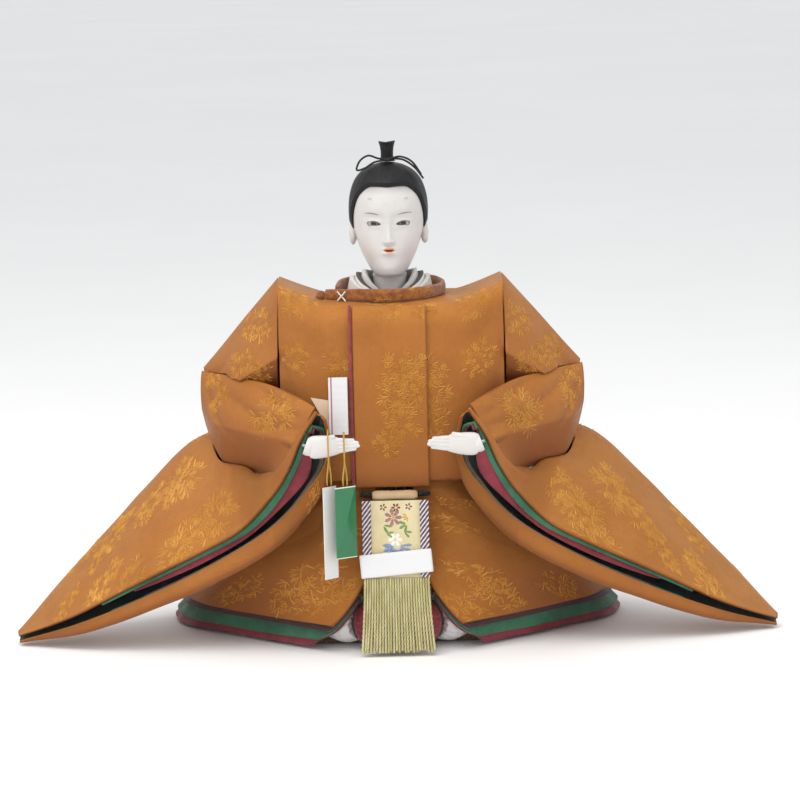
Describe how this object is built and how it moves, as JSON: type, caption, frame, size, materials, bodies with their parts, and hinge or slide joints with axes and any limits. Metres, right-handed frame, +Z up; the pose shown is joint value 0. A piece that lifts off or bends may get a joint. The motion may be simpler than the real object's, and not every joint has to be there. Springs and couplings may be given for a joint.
{
  "type": "seated festival doll in court robes",
  "caption": "Seated court-dressed display doll: brocade robe with wing sleeves, layered skirts, hanging fringed sash, liftable head, turning hands and swinging tags.",
  "frame": {"origin": "centre of the base board's underside, below the doll's neck", "axes": "+X to the doll's left, -Y the way the doll faces, +Z up"},
  "size_m": [0.3698, 0.1507, 0.238],
  "materials": {
    "wood": "planed",
    "straw": "bound rice straw, stood in for by fabric",
    "kraft": "matt",
    "wadding": "soft wadding",
    "steel": "drawn wire",
    "brocade": "woven brocade",
    "piping_red": "satin piping",
    "green_silk": "satin",
    "crimson_silk": "satin",
    "plum_silk": "satin",
    "white_cloth": "plain weave",
    "dark_cloth": "plain weave",
    "belt_leather": "smooth",
    "gofun": "polished shell-white face finish",
    "hand_white": "smooth",
    "hair_silk": "fine combed fibre",
    "black_cord": "twisted cord",
    "eye_glass": "polished",
    "tan_cloth": "matt",
    "sash_silk": "woven silk",
    "sash_border": "striped braid",
    "fringe": "twisted silk strands",
    "white_paper": "matt",
    "backing_paper": "matt",
    "green_card": "satin",
    "gold_thread": "metallic thread"
  },
  "bodies": {
    "doll_body": {"base_board": "wood", "seat_block": "wood", "straw_core": "straw", "core_binding": "kraft", "wrist_tube_left": "kraft", "wrist_tube_right": "kraft", "torso_wadding": "wadding", "arm_wire": "steel", "robe_body": "brocade", "robe_front_panel": "brocade", "robe_collar": "brocade", "collar_knot": "brocade", "outer_skirt": "brocade", "forearm_sleeve_left": "brocade", "forearm_sleeve_right": "brocade", "upper_sleeve_left": "brocade", "upper_sleeve_right": "brocade", "wing_sleeve_left": "brocade", "wing_sleeve_right": "brocade", "front_piping": "piping_red", "green_skirt": "green_silk", "green_sleeve_left": "green_silk", "green_sleeve_right": "green_silk", "red_skirt": "crimson_silk", "red_sleeve_left": "crimson_silk", "red_sleeve_right": "crimson_silk", "hakama_lining_left": "crimson_silk", "hakama_lining_right": "crimson_silk", "plum_skirt": "plum_silk", "under_collar_inner": "white_cloth", "under_collar_outer": "white_cloth", "collar_stitch": "white_cloth", "hakama_left": "white_cloth", "hakama_right": "white_cloth", "under_collar_middle": "dark_cloth", "waist_belt": "belt_leather", "sash_roll": "tan_cloth"},
    "head_stick": {"head_stick": "wood"},
    "head": {"face": "gofun", "hair": "hair_silk", "topknot": "hair_silk", "topknot_cord": "black_cord", "eye_left": "eye_glass", "eye_right": "eye_glass"},
    "left_hand_wire": {"hand_wire_left": "steel"},
    "left_hand": {"hand_left": "hand_white"},
    "right_hand_wire": {"hand_wire_right": "steel"},
    "right_hand": {"hand_right": "hand_white", "white_tag_thread": "gold_thread", "green_tag_thread": "gold_thread"},
    "white_tag_card": {"white_tag": "white_paper"},
    "green_tag_card": {"green_tag": "green_card"},
    "sash": {"sash_panel": "sash_silk", "sash_border_left": "sash_border", "sash_border_right": "sash_border", "sash_fringe": "fringe"},
    "paper_ring": {"paper_band": "white_paper"},
    "pocket_paper": {"folded_paper": "white_paper", "paper_backing_sheet": "backing_paper"}
  },
  "joints": [
    {"name": "head_lift", "type": "slide", "parent": "doll_body", "child": "head_stick", "axis": [0, 0, 1], "range_m": [0, 0.045]},
    {"name": "head_turn", "type": "hinge", "parent": "head_stick", "child": "head", "pos_m": [0, -0.007, 0.17], "axis": [0, 0, 1], "range_deg": [-20, 20]},
    {"name": "left_hand_pull", "type": "slide", "parent": "doll_body", "child": "left_hand_wire", "axis": [-0.7035, -0.7035, -0.1005], "range_m": [0, 0.012]},
    {"name": "left_hand_turn", "type": "hinge", "parent": "left_hand_wire", "child": "left_hand", "pos_m": [0.0385, -0.0625, 0.1015], "axis": [-0.7035, -0.7035, -0.1005], "range_deg": [-20, 20]},
    {"name": "right_hand_pull", "type": "slide", "parent": "doll_body", "child": "right_hand_wire", "axis": [0.7035, -0.7035, -0.1005], "range_m": [0, 0.012]},
    {"name": "right_hand_turn", "type": "hinge", "parent": "right_hand_wire", "child": "right_hand", "pos_m": [-0.0385, -0.0625, 0.1015], "axis": [0.7035, -0.7035, -0.1005], "range_deg": [-20, 4]},
    {"name": "white_tag_swing", "type": "hinge", "parent": "right_hand", "child": "white_tag_card", "pos_m": [-0.0304, -0.06417, 0.0832], "axis": [-0.848, 0.5299, 0], "range_deg": [-8, 30]},
    {"name": "green_tag_swing", "type": "hinge", "parent": "right_hand", "child": "green_tag_card", "pos_m": [-0.023, -0.06524, 0.0832], "axis": [-0.8829, -0.4695, 0], "range_deg": [0, 45]},
    {"name": "sash_swing", "type": "hinge", "parent": "doll_body", "child": "sash", "pos_m": [0, -0.04655, 0.0746], "axis": [-1, 0, 0], "range_deg": [0, 20]},
    {"name": "paper_band_slide", "type": "slide", "parent": "sash", "child": "paper_ring", "axis": [0, 0.2504, 0.9681], "range_m": [0, 0.02]},
    {"name": "folded_paper_pull", "type": "slide", "parent": "doll_body", "child": "pocket_paper", "axis": [0, 0.1104, 0.9939], "range_m": [0, 0.025]}
  ]
}
